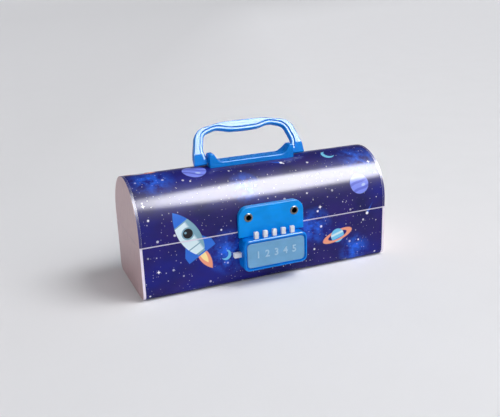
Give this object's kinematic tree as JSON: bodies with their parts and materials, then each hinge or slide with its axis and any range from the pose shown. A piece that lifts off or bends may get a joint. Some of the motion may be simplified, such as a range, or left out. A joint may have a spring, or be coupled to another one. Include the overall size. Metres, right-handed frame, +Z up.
{
  "type": "pencil box",
  "caption": "Oblong pencil box with a high arched lid on a flexing back hinge, a folding carrying handle on a bracket, and a front lock with code keys and a side release button.",
  "frame": {"origin": "middle of the underside, on the surface the box stands on", "axes": "+X along the box's length, to the right seen from the lock side; +Y to the back, where the lid is hinged; +Z up"},
  "size_m": [0.21, 0.0864, 0.1194],
  "materials": {
    "board": "matt grey board",
    "lining": "matt white paper",
    "print": "glossy laminated print",
    "sheet_plain": "glossy paper",
    "end_paper": "satin paper over board",
    "blue_plastic": "glossy moulded",
    "pale_blue_plastic": "satin moulded",
    "dark_plastic": "matt moulded",
    "white_plastic": "glossy moulded",
    "nickel": "nickel plated",
    "steel": "plain zinc",
    "spring_steel": "drawn wire"
  },
  "bodies": {
    "base": {"base_shell": "board", "base_lining": "lining", "base_front_sheet": "print", "base_back_sheet": "print", "underside_sheet": "sheet_plain", "base_end_left": "end_paper", "base_end_right": "end_paper", "cover_hinge": "print", "lock_housing": "blue_plastic", "lock_panel": "pale_blue_plastic", "lock_backplate": "dark_plastic", "lock_inner_plate": "steel", "lock_screws": "steel", "key_spring_1": "spring_steel", "key_spring_2": "spring_steel", "key_spring_3": "spring_steel", "key_spring_4": "spring_steel", "key_spring_5": "spring_steel", "release_spring": "spring_steel"},
    "lid": {"lid_shell": "board", "lid_lining": "lining", "lid_cover": "print", "lid_end_left": "end_paper", "lid_end_right": "end_paper", "hasp_plate": "blue_plastic", "hasp_rivets": "nickel", "hasp_washers": "steel", "handle_bracket": "blue_plastic", "bracket_screws": "steel", "bracket_washers": "steel"},
    "handle": {"handle_grip": "blue_plastic"},
    "release": {"release_slide": "white_plastic"},
    "key_1": {"code_key_1": "white_plastic"},
    "key_2": {"code_key_2": "white_plastic"},
    "key_3": {"code_key_3": "white_plastic"},
    "key_4": {"code_key_4": "white_plastic"},
    "key_5": {"code_key_5": "white_plastic"}
  },
  "joints": [
    {"name": "lid_hinge", "type": "hinge", "parent": "base", "child": "lid", "pos_m": [0, 0.038, 0.04315], "axis": [-1, 0, 0], "range_deg": [0, 130], "deforming": ["cover_hinge"]},
    {"name": "handle_pivot", "type": "hinge", "parent": "lid", "child": "handle", "pos_m": [0, 0, 0.09225], "axis": [1, 0, 0], "range_deg": [0, 64]},
    {"name": "code_key_1_press", "type": "slide", "parent": "base", "child": "key_1", "axis": [0, 0, -1], "range_m": [0, 0.003], "stiffness_N_per_m": 150, "springref_m": -0.001, "deforming": ["key_spring_1"]},
    {"name": "code_key_2_press", "type": "slide", "parent": "base", "child": "key_2", "axis": [0, 0, -1], "range_m": [0, 0.003], "stiffness_N_per_m": 150, "springref_m": -0.001, "deforming": ["key_spring_2"]},
    {"name": "code_key_3_press", "type": "slide", "parent": "base", "child": "key_3", "axis": [0, 0, -1], "range_m": [0, 0.003], "stiffness_N_per_m": 150, "springref_m": -0.001, "deforming": ["key_spring_3"]},
    {"name": "code_key_4_press", "type": "slide", "parent": "base", "child": "key_4", "axis": [0, 0, -1], "range_m": [0, 0.003], "stiffness_N_per_m": 150, "springref_m": -0.001, "deforming": ["key_spring_4"]},
    {"name": "code_key_5_press", "type": "slide", "parent": "base", "child": "key_5", "axis": [0, 0, -1], "range_m": [0, 0.003], "stiffness_N_per_m": 150, "springref_m": -0.001, "deforming": ["key_spring_5"]},
    {"name": "release_press", "type": "slide", "parent": "base", "child": "release", "axis": [1, 0, 0], "range_m": [0, 0.003], "stiffness_N_per_m": 150, "springref_m": -0.001, "deforming": ["release_spring"]}
  ]
}
